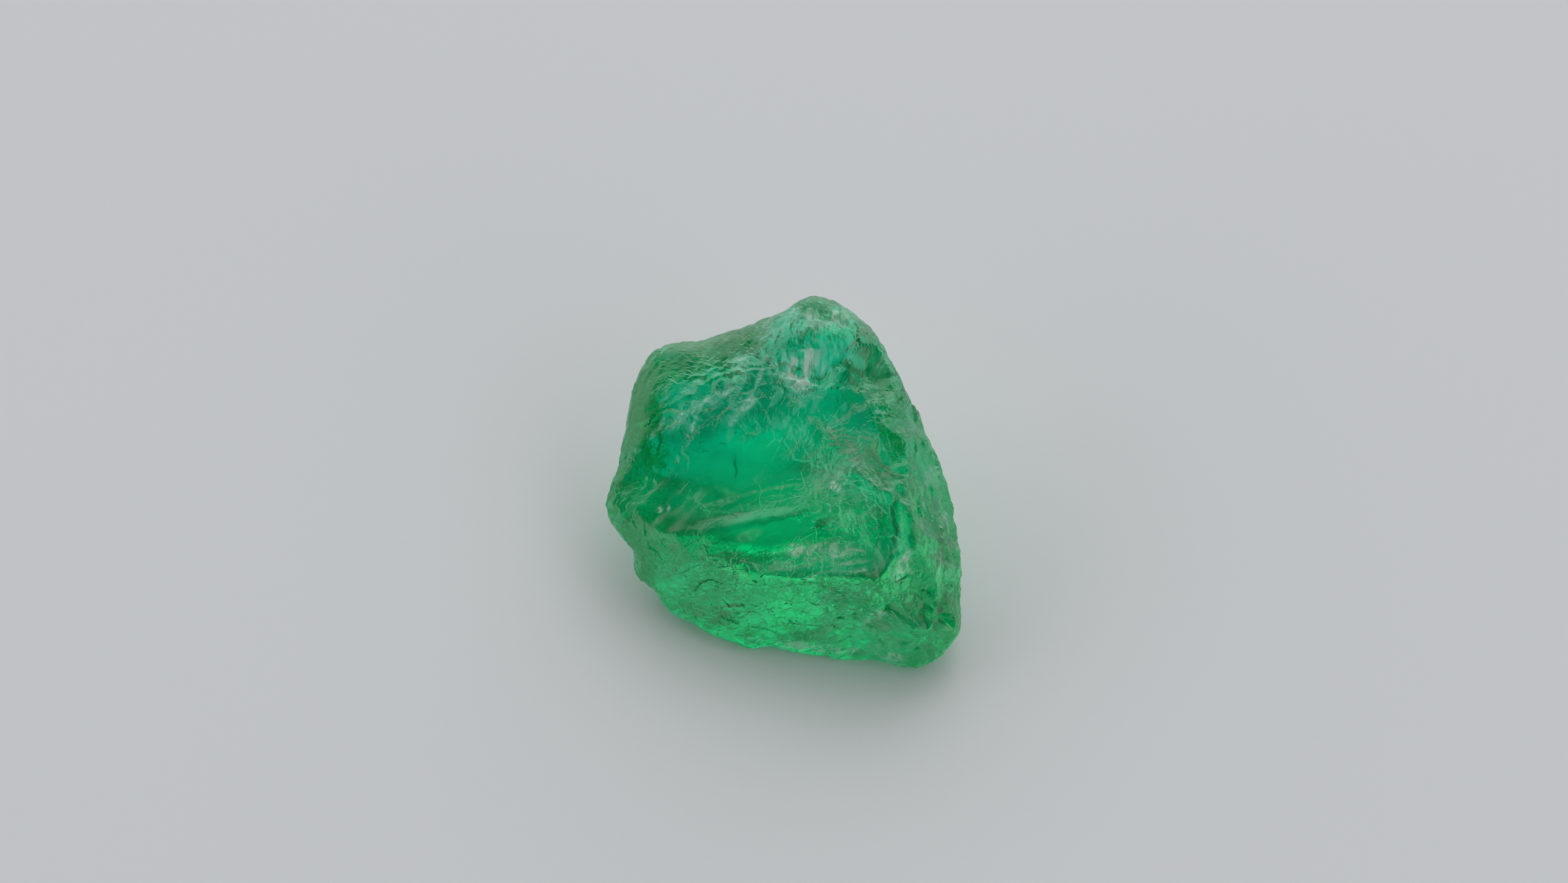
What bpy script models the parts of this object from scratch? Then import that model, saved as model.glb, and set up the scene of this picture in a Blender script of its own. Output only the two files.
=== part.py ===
"""A rough, broken piece of see-through green tourmaline, standing on a flat facet.

The stone is one closed solid. Its body is a surface seen whole from one inner place:
every direction from that place has one radius. The radius is a soft blend between
corners of known place. Shell-shaped hollows are then cut, ledges and flakes are pressed in, and
the underside is cut flat at z = 0. Lengths are in millimetres until the last step.
"""

import math

import bmesh
import bpy
import numpy as np

# The sight line the corners were measured along: 50 degrees above the rest plane.
SIGHT_ELEVATION = math.radians(50.0)
SIGHT_DISTANCE = 105.0
SIGHT_MIDDLE_UP = 3.68

# The inner place that sees the whole surface.
INNER_PLACE = np.array([0.2, -0.8, 2.0])
# Puts the middle of the footprint over the origin.
FOOTPRINT_SHIFT = np.array([0.05, 0.5, 0.0])

CORNER_SOFTNESS = 0.07
TRIANGLE_SHARE = 0.14
BALL_DIVISIONS = 7
MILLIMETRE = 0.001
# Skin corners this close to the rest plane are laid on it; both lengths are in metres.
FLAT_SNAP = 0.00003
CUT_CLOSENESS = 0.0000001

# Corners are (right, up, height): right and up across the sight line, height above the rest plane.
OUTLINE_PEAK = [(0.85, 9.65, 8.9), (1.5, 9.7, 9.0), (2.45, 9.4, 8.8), (3.05, 8.9, 8.5)]
OUTLINE_RIGHT_SHOULDER = [(4.0, 7.95, 8.0), (4.75, 6.75, 7.4), (5.4, 4.75, 6.6), (6.2, 3.75, 5.9)]
OUTLINE_RIGHT_FLANK = [
    (6.85, 2.4, 5.2), (7.15, 0.6, 4.5), (7.45, -0.65, 3.9), (7.45, -1.75, 3.3),
    (7.15, -2.55, 3.0), (7.3, -3.6, 2.4), (7.25, -4.7, 1.6),
]
OUTLINE_TOE = [(6.55, -5.45, 0.8), (5.4, -5.95, 0.3), (4.15, -5.7, 0.15), (2.35, -5.55, 0.1)]
OUTLINE_FOOT = [
    (0.3, -5.25, 0.1), (-1.5, -5.05, 0.2), (-3.25, -4.45, 0.3), (-4.8, -3.55, 0.5),
    (-5.55, -2.6, 0.9), (-6.3, -1.9, 1.5),
]
OUTLINE_LEFT_CORNER = [
    (-6.45, -1.1, 2.1), (-6.7, -0.6, 2.7), (-7.3, 0.3, 3.4), (-7.5, 1.05, 3.9), (-7.25, 1.85, 4.3),
]
OUTLINE_LEFT_FLANK = [(-6.8, 3.25, 4.9), (-6.55, 4.2, 5.2), (-6.25, 5.7, 5.8), (-5.9, 7.15, 6.3)]
OUTLINE_TOP_EDGE = [
    (-5.05, 7.7, 6.6), (-4.05, 7.85, 6.8), (-2.75, 8.05, 7.1), (-1.5, 8.55, 7.6), (-0.1, 9.15, 8.3),
]
RIGHT_RIDGE = [
    (2.15, 9.05, 8.9), (2.85, 8.3, 8.6), (3.9, 7.15, 8.1), (4.45, 5.85, 7.6), (4.85, 4.3, 7.1),
    (5.1, 2.55, 6.7), (5.0, 0.75, 6.4), (4.8, -0.8, 5.9), (4.9, -2.35, 5.0), (5.2, -4.1, 3.4),
    (5.4, -5.25, 1.4),
]
SIDE_FACE = [(6.2, 1.75, 5.9), (6.45, -0.8, 4.9), (6.55, -3.35, 3.3), (6.45, -4.9, 1.5)]
CROWN = [
    (1.45, 8.65, 8.8), (0.3, 7.9, 8.4), (1.6, 6.85, 8.0), (2.85, 5.85, 7.6), (1.05, 5.85, 7.5),
    (3.35, 4.3, 7.1), (1.6, 4.3, 6.9),
]
MOUND = [
    (2.35, 2.8, 6.7), (2.75, 1.75, 6.7), (3.9, 1.25, 6.6), (1.6, 1.0, 6.2), (2.85, -0.05, 6.0),
    (0.55, 1.75, 6.1), (0.3, 0.25, 5.5), (2.85, -1.45, 5.1), (1.05, -1.45, 4.8), (3.9, -1.55, 5.3),
]
LEDGE_SLOPE = [
    (-4.55, 6.85, 6.7), (-2.75, 7.15, 7.1), (-0.95, 7.65, 7.8), (-5.3, 5.35, 6.1),
    (-3.55, 5.85, 6.7), (-1.75, 6.35, 7.3), (-0.2, 6.85, 7.8),
]
BOWL_RIM = [
    (-4.8, 3.3, 5.4), (-3.0, 3.8, 6.0), (-1.35, 3.3, 6.1), (0.05, 3.3, 6.4), (-2.75, 2.0, 5.5),
    (-1.25, 1.25, 5.4),
]
LEFT_SHELF = [
    (-5.85, 2.25, 4.9), (-6.35, 1.0, 4.3), (-4.8, 1.0, 4.7), (-3.4, 0.6, 4.9), (-1.5, -0.05, 4.9),
    (-3.25, -0.05, 4.6), (-4.55, 0.1, 4.4), (-6.1, 0.25, 3.9),
]
BROW = [(-2.25, -0.85, 4.5), (-0.7, -1.7, 4.2), (0.3, -1.95, 4.2), (-5.85, -1.05, 3.0)]
FRONT_FACE = [
    (-4.8, -2.05, 2.4), (-3.55, -2.35, 2.7), (-1.85, -2.95, 2.7), (-0.2, -3.35, 2.5),
    (1.6, -3.35, 2.8), (3.35, -3.35, 3.2), (-2.75, -3.75, 1.5), (-0.7, -4.35, 1.2),
    (1.35, -4.65, 1.3), (3.35, -4.9, 1.3), (-4.55, -3.1, 1.2),
]

# Corners on the turned-away sides are plain (x, y, z) places.
BACK_WALL = [
    (1.2, 6.0, 7.0), (1.0, 6.5, 4.8), (0.8, 6.1, 2.9), (-1.8, 5.6, 5.5), (-1.7, 5.5, 3.1),
    (-4.6, 5.1, 4.8), (-4.2, 4.7, 2.7), (4.2, 4.6, 6.0), (4.2, 4.6, 3.4),
]
# A broad chip slants in under the back wall.
BACK_CHIP = [
    (0.7, 5.2, 1.9), (0.5, 3.5, 0.9), (0.3, 1.7, 0.1), (-1.7, 4.7, 1.9), (-1.6, 3.2, 0.9),
    (-1.5, 1.6, 0.1), (-3.7, 3.6, 1.1), (-3.2, 2.4, 0.2), (3.8, 3.8, 1.4), (3.4, 2.4, 0.2),
]
RIGHT_UNDERCUT = [
    (5.9, 0.9, 4.2), (6.2, 1.2, 2.0), (5.3, 1.0, 0.0), (7.1, -3.0, 2.2), (6.4, -3.2, 0.3),
]
LEFT_UNDERCUT = [
    (-6.6, -1.2, 2.4), (-5.4, -1.2, 0.5), (-6.5, 1.0, 3.4), (-5.6, 1.2, 1.3), (-4.7, 0.6, -0.1),
    (-6.0, 3.2, 4.0), (-5.4, 3.2, 1.9), (-4.4, 2.8, 0.1),
]
UNDERSIDE = [
    (-2.8, -4.0, -0.5), (2.2, -6.0, -0.6), (4.8, -5.6, -0.5), (0.0, -5.3, -0.7), (0.0, -1.0, -0.9),
    (3.0, -3.0, -0.9), (-2.4, -1.0, -0.7), (0.0, 0.7, -0.7), (3.2, 0.6, -0.8), (-2.0, 0.6, -0.7),
]

# Hollows: place on the surface, outward way, rim radius, depth, rim softness, stretch along x.
BOWL = ((-1.75, -0.64, 6.00), (-0.16, -0.50, 0.85), 2.1, 0.33, 0.30, 1.25)
BOWL_LEFT_END = ((-4.5, -0.9, 5.15), (-0.20, -0.52, 0.83), 1.3, 0.15, 0.20, 1.3)
BAND = ((-0.9, -3.75, 4.85), (-0.15, -0.50, 0.85), 1.25, 0.10, 0.20, 1.9)
LOWER_BAND = ((-3.5, -3.80, 4.55), (-0.20, -0.68, 0.70), 0.8, 0.14, 0.12, 2.0)
CROWN_HOLLOW = ((3.3, 1.5, 7.85), (0.10, -0.35, 0.93), 1.4, 0.26, 0.20, 1.2)
SHOULDER_HOLLOW = ((4.3, -0.9, 7.05), (0.10, -0.50, 0.86), 1.2, 0.28, 0.20, 1.0)
SADDLE = ((1.3, 0.7, 7.55), (-0.10, -0.40, 0.91), 1.5, 0.24, 0.25, 1.4)
HIGH_PIT = ((6.54, -4.42, 4.45), (0.73, -0.36, 0.58), 0.6, 0.30, 0.08, 1.0)
LOW_PIT = ((6.41, -6.37, 3.05), (0.74, -0.42, 0.52), 0.6, 0.28, 0.08, 1.0)
TOE_HOLLOW = ((3.64, -6.85, 2.85), (-0.20, -0.90, 0.30), 0.9, 0.20, 0.10, 1.3)
SIDE_HOLLOW = ((6.1, -2.4, 5.1), (0.80, -0.10, 0.60), 2.2, 0.28, 0.10, 1.0)
FRONT_RIGHT_HOLLOW = ((4.9, -6.2, 4.4), (0.25, -0.85, 0.50), 1.2, 0.20, 0.20, 1.0)
FRONT_LEFT_HOLLOW = ((-3.6, -5.1, 2.6), (-0.30, -0.90, 0.30), 1.6, 0.16, 0.30, 1.3)
FRONT_HOLLOW = ((0.6, -6.3, 2.2), (-0.10, -0.95, 0.20), 1.7, 0.15, 0.35, 1.5)
BACK_LEFT_HOLLOW = ((-2.6, 5.6, 4.4), (-0.20, 0.97, 0.12), 2.7, 0.50, 0.06, 1.3)
BACK_RIGHT_HOLLOW = ((4.6, 3.7, 4.4), (0.75, 0.60, 0.25), 2.6, 0.42, 0.06, 1.0)
BACK_HIGH_HOLLOW = ((1.6, 5.9, 7.0), (0.10, 0.85, 0.50), 1.7, 0.35, 0.06, 1.3)
BACK_LOW_HOLLOW = ((1.2, 5.9, 2.6), (0.15, 0.95, -0.20), 2.1, 0.35, 0.06, 1.2)
LEFT_HOLLOW = ((-6.2, 1.2, 3.0), (-0.95, 0.10, -0.28), 2.0, 0.38, 0.06, 1.0)
RIGHT_LOW_HOLLOW = ((6.7, 0.0, 2.8), (0.98, 0.10, 0.0), 2.1, 0.32, 0.06, 1.0)

SMOOTH_HOLLOWS = [BOWL, BOWL_LEFT_END, BAND, LOWER_BAND]
ROUGH_HOLLOWS = [
    CROWN_HOLLOW, SHOULDER_HOLLOW, SADDLE, HIGH_PIT, LOW_PIT, TOE_HOLLOW, SIDE_HOLLOW,
    FRONT_RIGHT_HOLLOW, FRONT_LEFT_HOLLOW, FRONT_HOLLOW, BACK_LEFT_HOLLOW, BACK_RIGHT_HOLLOW,
    BACK_HIGH_HOLLOW, BACK_LOW_HOLLOW, LEFT_HOLLOW, RIGHT_LOW_HOLLOW,
]
# Unevenness of the hollows' floors: (height, wavelength, seed).
HOLLOW_WAVES = [(0.08, 1.9, 11), (0.03, 0.9, 12)]
FULL_WAVE_DEPTH = 0.4
# The hollows' rims wander: directions drift by these waves before the cut, the smooth ones less.
RIM_DRIFT = [(0.07, 1.6, 13), (0.03, 0.6, 16)]
SMOOTH_DRIFT_SHARE = 0.25
# Broad unevenness of the whole skin.
SKIN_WAVES = [(0.10, 1.7, 3), (0.05, 0.8, 4)]

# Ledges curve round the bowl's upper left side, like ripples of the break.
LEDGE_MIDDLE = np.array([-1.4, -1.3, 6.0])
LEDGE_PLANE_WAY = np.array([-0.16, -0.42, 0.89])
LEDGE_SIDE_WAY = np.array([-0.5, 0.8, 0.3])
LEDGE_STRETCH = 1.25
LEDGE_SPACING = 0.55
LEDGE_DEPTH = 0.20
LEDGE_RISE_SHARE = 0.7
LEDGE_WAVES = [(0.55, 1.3, 21), (0.30, 0.5, 22)]
LEDGE_RING_INNER = (2.1, 2.6)
LEDGE_RING_OUTER = (3.6, 5.2)
LEDGE_SIDE_EDGE = (0.9, 1.9)
LEDGE_GAP_WAVE = (1.0, 0.9, 23)
LEDGE_GAP_EDGE = (-0.3, 0.4)
LEDGE_LEAST_SHARE = 0.35

# Flakes: (middle, reach, added depth).
FLAKED_CROWN = ((0.9, 2.1, 8.0), 1.8, 0.16)
FLAKED_PEAK = ((1.7, 4.0, 8.9), 1.8, 0.12)
FLAKED_TOE = ((4.3, -7.0, 1.2), 2.4, 0.12)
FLAKED_BAND = ((1.2, -5.1, 4.9), 1.9, 0.10)
FLAKE_DEPTH = 0.12
# The bowl, the left shelf, the band and the left flank have nearly no flakes or ledges: (middle, sizes).
SMOOTH_PARTS = [
    ((-1.9, -1.2, 5.2), (2.9, 1.7, 1.7)), ((-4.7, -2.6, 4.6), (1.3, 1.2, 1.2)),
    ((-1.2, -3.9, 4.9), (2.4, 0.9, 0.9)), ((-5.5, 0.6, 5.5), (1.2, 2.2, 1.3)),
]
SMOOTH_EDGE = (0.6, 1.4)
SMOOTH_SHARE = 0.9
SIDE_FACE_FLAKE_DEPTH = 0.05
SIDE_FACE_START_X = 4.6
SIDE_FACE_FULL_X = 5.6
FLAKE_SQUEEZE = np.array([1.0, 0.55, 1.0])
FLAKE_DRIFT = [(0.12, 0.7, 34)]
FLAKE_SIZES = [(1.0, 0.9, 31), (0.5, 0.45, 32)]

# A groove runs down the front of the right ridge.
GROOVE_TOP = np.array([4.62, -3.6, 6.5])
GROOVE_FOOT = np.array([4.40, -5.6, 5.8])
GROOVE_DEPTH = 0.22
GROOVE_WIDTH = 0.28
GROOVE_SQUEEZE = np.array([1.0, 0.6, 0.6])
GROOVE_WAVE = (0.12, 0.5, 41)

LATTICE_SIZE = 512
WAVE_GAIN = 1.6
FAR_AWAY = 99.0

STONE_NAME = "tourmaline"
STONE_COLOR = (0.02, 0.30, 0.14, 1.0)
STONE_ROUGHNESS = 0.35
STONE_IOR = 1.63
STONE_ALPHA = 0.6


def place_seen(right, up, height):
    """The place HEIGHT above the rest plane on the line of sight through RIGHT, UP."""
    up_way = np.array([0.0, math.sin(SIGHT_ELEVATION), math.cos(SIGHT_ELEVATION)])
    back_way = np.array([0.0, -math.cos(SIGHT_ELEVATION), math.sin(SIGHT_ELEVATION)])
    eye = SIGHT_MIDDLE_UP * up_way + SIGHT_DISTANCE * back_way
    way = np.array([right, 0.0, 0.0]) + (up - SIGHT_MIDDLE_UP) * up_way
    way = way - SIGHT_DISTANCE * back_way
    return eye + way * (height - eye[2]) / way[2]


def all_corners():
    """Places of every corner, one row each."""
    seen = OUTLINE_PEAK + OUTLINE_RIGHT_SHOULDER + OUTLINE_RIGHT_FLANK + OUTLINE_TOE
    seen = seen + OUTLINE_FOOT + OUTLINE_LEFT_CORNER + OUTLINE_LEFT_FLANK + OUTLINE_TOP_EDGE
    seen = seen + RIGHT_RIDGE + SIDE_FACE + CROWN + MOUND + LEDGE_SLOPE + BOWL_RIM
    seen = seen + LEFT_SHELF + BROW + FRONT_FACE
    hidden = BACK_WALL + BACK_CHIP + RIGHT_UNDERCUT + LEFT_UNDERCUT + UNDERSIDE
    return np.array([place_seen(*corner) for corner in seen] + hidden)


def soft_gap(ways, corner_ways):
    """Straight distance between directions on the unit ball, rounded off near zero."""
    squared = np.maximum(2.0 - 2.0 * ways @ corner_ways.T, 0.0)
    return np.sqrt(squared + CORNER_SOFTNESS ** 2)


def corner_blend():
    """Directions of the corners and the weights that make the blend meet every corner."""
    from_inside = all_corners() - INNER_PLACE
    radius = np.linalg.norm(from_inside, axis=1)
    corner_ways = from_inside / radius[:, None]
    count = len(radius)
    system = np.ones((count + 1, count + 1))
    system[:count, :count] = soft_gap(corner_ways, corner_ways)
    system[count, count] = 0.0
    weights = np.linalg.solve(system, np.append(radius, 0.0))
    return corner_ways, weights


def lattice_pick(order, cell):
    """A fixed random number for each lattice cell."""
    mask = LATTICE_SIZE - 1
    first = order[cell[:, 0] & mask]
    second = order[(first + cell[:, 1]) & mask]
    return order[(second + cell[:, 2]) & mask]


def random_ways(generator):
    """Unit vectors spread evenly over all directions."""
    ways = generator.normal(size=(LATTICE_SIZE, 3))
    return ways / np.linalg.norm(ways, axis=1)[:, None]


def wave(points, height, wavelength, seed):
    """Smooth unevenness: random slopes at lattice corners, eased into each other."""
    generator = np.random.default_rng(seed)
    slopes = random_ways(generator)
    order = generator.permutation(LATTICE_SIZE)
    scaled = points / wavelength
    cell = np.floor(scaled).astype(int)
    part = scaled - cell
    ease = part * part * part * (part * (part * 6.0 - 15.0) + 10.0)
    total = np.zeros(len(points))
    for corner in np.ndindex(2, 2, 2):
        pick = lattice_pick(order, cell + corner)
        share = np.prod(np.where(np.array(corner) == 1, ease, 1.0 - ease), axis=1)
        total += share * ((part - corner) * slopes[pick]).sum(axis=1)
    return WAVE_GAIN * height * total


def drift(points, waves):
    """A small sideways shift for each place: a sum of waves for each axis, with seeds one apart."""
    shifts = [
        sum(wave(points, height, wavelength, seed + axis) for height, wavelength, seed in waves)
        for axis in range(3)
    ]
    return np.stack(shifts, axis=1)


def flakes(points, size, seed):
    """Tilted flakes: each point takes the slope of the nearest seed, between -1 and 1."""
    generator = np.random.default_rng(seed)
    order = generator.permutation(LATTICE_SIZE)
    jitter = generator.random((LATTICE_SIZE, 3))
    tilt = random_ways(generator)
    scaled = points / size
    cell = np.floor(scaled).astype(int)
    nearest = np.full(len(points), FAR_AWAY)
    value = np.zeros(len(points))
    for corner in np.ndindex(3, 3, 3):
        near_cell = cell + corner - 1
        pick = lattice_pick(order, near_cell)
        gap = scaled - near_cell - jitter[pick]
        squared = (gap ** 2).sum(axis=1)
        closer = squared < nearest
        value = np.where(closer, (gap * tilt[pick]).sum(axis=1), value)
        nearest = np.where(closer, squared, nearest)
    return value


def eased_step(value, low, high):
    """0 below LOW, 1 above HIGH, eased between."""
    share = np.clip((value - low) / (high - low), 0.0, 1.0)
    return share * share * (3.0 - 2.0 * share)


def nearness(points, middle, reach):
    """1 at MIDDLE, falling to 0 at REACH."""
    return 1.0 - eased_step(np.linalg.norm(points - np.array(middle), axis=1), 0.0, reach)


def cut_hollow(radius, ways, unevenness, hollow):
    """Radius after a stretched ball is cut out: the ray stops where it enters the ball."""
    middle, outward, rim, depth, softness, stretch = hollow
    outward = np.array(outward) / np.linalg.norm(outward)
    ball = (rim ** 2 + depth ** 2) / (2.0 * depth)
    long_way = np.array([1.0, 0.0, 0.0]) - outward[0] * outward
    long_way = long_way / np.linalg.norm(long_way)
    heart = np.array(middle) + outward * (ball - depth) - INNER_PLACE
    squeeze = 1.0 / stretch - 1.0
    ray = ways + squeeze * (ways @ long_way)[:, None] * long_way
    heart = heart + squeeze * (heart @ long_way) * long_way
    length = (ray ** 2).sum(axis=1)
    toward = ray @ heart
    reach = toward ** 2 - length * (heart @ heart - ball ** 2)
    hit = (reach > 0.0) & (toward > 0.0)
    entry = (toward - np.sqrt(np.maximum(reach, 0.0))) / length
    entry = entry + unevenness * min(1.0, depth / FULL_WAVE_DEPTH)
    share = np.clip(0.5 + 0.5 * (radius - entry) / softness, 0.0, 1.0)
    cut = radius * (1.0 - share) + entry * share - softness * share * (1.0 - share)
    return np.where(hit, cut, radius)


def smooth_parts(points):
    """1 inside the smooth ellipsoids, falling to 0 just outside them."""
    share = np.zeros(len(points))
    for middle, size in SMOOTH_PARTS:
        gap = np.linalg.norm((points - np.array(middle)) / np.array(size), axis=1)
        share = np.maximum(share, 1.0 - eased_step(gap, *SMOOTH_EDGE))
    return share


def ledge_cut(points):
    """Depth of the ledges: a saw-tooth of the distance from the bowl's middle."""
    plane_way = LEDGE_PLANE_WAY / np.linalg.norm(LEDGE_PLANE_WAY)
    away = points - LEDGE_MIDDLE
    away = away - (away @ plane_way)[:, None] * plane_way
    flat = away / np.array([LEDGE_STRETCH, 1.0, 1.0])
    distance = np.linalg.norm(flat, axis=1)
    warped = distance + sum(wave(points, *one) for one in LEDGE_WAVES)
    phase = warped / LEDGE_SPACING
    phase = phase - np.floor(phase)
    rising = phase / LEDGE_RISE_SHARE
    falling = (1.0 - phase) / (1.0 - LEDGE_RISE_SHARE)
    saw = np.minimum(rising, falling)
    ring = eased_step(distance, *LEDGE_RING_INNER) * (1.0 - eased_step(distance, *LEDGE_RING_OUTER))
    side = eased_step(away @ LEDGE_SIDE_WAY, *LEDGE_SIDE_EDGE)
    whole = eased_step(wave(points, *LEDGE_GAP_WAVE), *LEDGE_GAP_EDGE)
    broken = LEDGE_LEAST_SHARE + (1.0 - LEDGE_LEAST_SHARE) * whole
    flaked = 1.0 - SMOOTH_SHARE * smooth_parts(points)
    return LEDGE_DEPTH * ring * side * broken * saw * flaked


def flake_cut(points):
    """Depth of the flakes: deepest on the crown, the peak, the toe and the side face."""
    depth = FLAKE_DEPTH + np.zeros(len(points))
    for middle, reach, added in (FLAKED_CROWN, FLAKED_PEAK, FLAKED_TOE, FLAKED_BAND):
        depth = depth + added * nearness(points, middle, reach)
    side_face = eased_step(points[:, 0], SIDE_FACE_START_X, SIDE_FACE_FULL_X)
    depth = depth + SIDE_FACE_FLAKE_DEPTH * side_face
    depth = depth * (1.0 - SMOOTH_SHARE * smooth_parts(points))
    squeezed = (points + drift(points, FLAKE_DRIFT)) * FLAKE_SQUEEZE
    total = np.zeros(len(points))
    for share, size, seed in FLAKE_SIZES:
        total = total + share * (0.5 + 0.5 * flakes(squeezed, size, seed))
    return depth * total


def groove_cut(points):
    """Depth of the groove: a rounded valley along a straight line."""
    run = GROOVE_FOOT - GROOVE_TOP
    along = np.clip((points - GROOVE_TOP) @ run / (run @ run), 0.0, 1.0)
    off_line = (points - GROOVE_TOP - along[:, None] * run) * GROOVE_SQUEEZE
    gap = np.linalg.norm(off_line, axis=1) + wave(points, *GROOVE_WAVE)
    return GROOVE_DEPTH * np.exp(-((gap / GROOVE_WIDTH) ** 2))


def stone_surface(ways):
    """Places of the stone's skin in the directions WAYS from the inner place."""
    corner_ways, weights = corner_blend()
    radius = soft_gap(ways, corner_ways) @ weights[:-1] + weights[-1]
    points = INNER_PLACE + ways * radius[:, None]
    unevenness = sum(wave(points, *one) for one in HOLLOW_WAVES)
    radius = radius + sum(wave(points, *one) for one in SKIN_WAVES)
    bend = drift(points, RIM_DRIFT)
    for hollows, share in ((SMOOTH_HOLLOWS, SMOOTH_DRIFT_SHARE), (ROUGH_HOLLOWS, 1.0)):
        bent_ways = ways + bend * share
        bent_ways = bent_ways / np.linalg.norm(bent_ways, axis=1)[:, None]
        for hollow in hollows:
            radius = cut_hollow(radius, bent_ways, unevenness, hollow)
    points = INNER_PLACE + ways * radius[:, None]
    radius = radius - ledge_cut(points) - flake_cut(points) - groove_cut(points)
    return INNER_PLACE + ways * radius[:, None] + FOOTPRINT_SHIFT


def shaped_ball():
    """A finely divided ball pushed out to the stone's skin."""
    shell = bmesh.new()
    bmesh.ops.create_icosphere(shell, subdivisions=BALL_DIVISIONS, radius=1.0)
    mesh = bpy.data.meshes.new(STONE_NAME + "_fine")
    shell.to_mesh(mesh)
    shell.free()
    ways = np.empty(3 * len(mesh.vertices))
    mesh.vertices.foreach_get("co", ways)
    ways = ways.reshape(-1, 3)
    ways = ways / np.linalg.norm(ways, axis=1)[:, None]
    places = stone_surface(ways) * MILLIMETRE
    mesh.vertices.foreach_set("co", places.ravel())
    mesh.update()
    return mesh


def thinned(mesh):
    """The same skin with fewer, larger facets where it is flattest."""
    fine = bpy.data.objects.new(mesh.name, mesh)
    bpy.context.collection.objects.link(fine)
    thinning = fine.modifiers.new("facets", "DECIMATE")
    thinning.ratio = TRIANGLE_SHARE
    thinning.use_collapse_triangulate = True
    graph = bpy.context.evaluated_depsgraph_get()
    coarse = bpy.data.meshes.new_from_object(fine.evaluated_get(graph))
    bpy.data.objects.remove(fine)
    return coarse


def cut_flat(mesh):
    """Cuts everything below z = 0 away and closes the cut with one flat face."""
    shell = bmesh.new()
    shell.from_mesh(mesh)
    for corner in shell.verts:
        if abs(corner.co.z) < FLAT_SNAP:
            corner.co.z = 0.0
    everything = shell.verts[:] + shell.edges[:] + shell.faces[:]
    bmesh.ops.bisect_plane(
        shell,
        geom=everything,
        dist=CUT_CLOSENESS,
        plane_co=(0, 0, 0),
        plane_no=(0, 0, -1),
        clear_outer=True,
    )
    rim = [edge for edge in shell.edges if edge.is_boundary]
    bmesh.ops.edgeloop_fill(shell, edges=rim)
    bmesh.ops.recalc_face_normals(shell, faces=shell.faces)
    shell.to_mesh(mesh)
    shell.free()


def stone_material():
    """Clear green gem material."""
    material = bpy.data.materials.new("green_gem")
    material.use_nodes = True
    shader = material.node_tree.nodes["Principled BSDF"]
    shader.inputs["Base Color"].default_value = STONE_COLOR
    shader.inputs["Roughness"].default_value = STONE_ROUGHNESS
    shader.inputs["IOR"].default_value = STONE_IOR
    shader.inputs["Alpha"].default_value = STONE_ALPHA
    return material


for old in list(bpy.data.objects):
    bpy.data.objects.remove(old)

stone_mesh = thinned(shaped_ball())
cut_flat(stone_mesh)
stone_mesh.name = STONE_NAME
stone_mesh.materials.append(stone_material())
stone = bpy.data.objects.new(STONE_NAME, stone_mesh)
bpy.context.collection.objects.link(stone)
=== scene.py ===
import math

import bpy
import numpy as np
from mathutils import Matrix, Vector


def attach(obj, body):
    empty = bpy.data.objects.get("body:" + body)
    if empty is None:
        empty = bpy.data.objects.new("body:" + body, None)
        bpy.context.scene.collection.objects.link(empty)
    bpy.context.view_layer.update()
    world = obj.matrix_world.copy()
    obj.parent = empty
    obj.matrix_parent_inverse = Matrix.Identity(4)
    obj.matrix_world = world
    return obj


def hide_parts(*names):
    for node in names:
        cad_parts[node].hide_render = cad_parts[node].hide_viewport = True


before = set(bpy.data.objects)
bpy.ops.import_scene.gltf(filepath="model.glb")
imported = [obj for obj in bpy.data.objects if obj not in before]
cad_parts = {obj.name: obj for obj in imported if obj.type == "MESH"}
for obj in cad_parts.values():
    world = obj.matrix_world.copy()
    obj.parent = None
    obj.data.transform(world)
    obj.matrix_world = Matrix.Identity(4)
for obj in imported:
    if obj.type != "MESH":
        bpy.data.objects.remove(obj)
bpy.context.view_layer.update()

# The stone's body: a rough piece broken off a green tourmaline crystal, in millimetres.
# Its skin is seen whole from one inner place, so each direction has one radius,
# blended softly between corners of known place. It has the shape that the break gave it.

SIGHT_ELEVATION = math.radians(50.0)
SIGHT_UP_WAY = np.array([0.0, math.sin(SIGHT_ELEVATION), math.cos(SIGHT_ELEVATION)])
SIGHT_BACK_WAY = np.array([0.0, -math.cos(SIGHT_ELEVATION), math.sin(SIGHT_ELEVATION)])
SIGHT_DISTANCE = 105.0
SIGHT_MIDDLE_UP = 3.68
INNER_PLACE = np.array([0.2, -0.8, 2.0])
FOOTPRINT_SHIFT = np.array([0.05, 0.5, 0.0])
CORNER_SOFTNESS = 0.07

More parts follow.
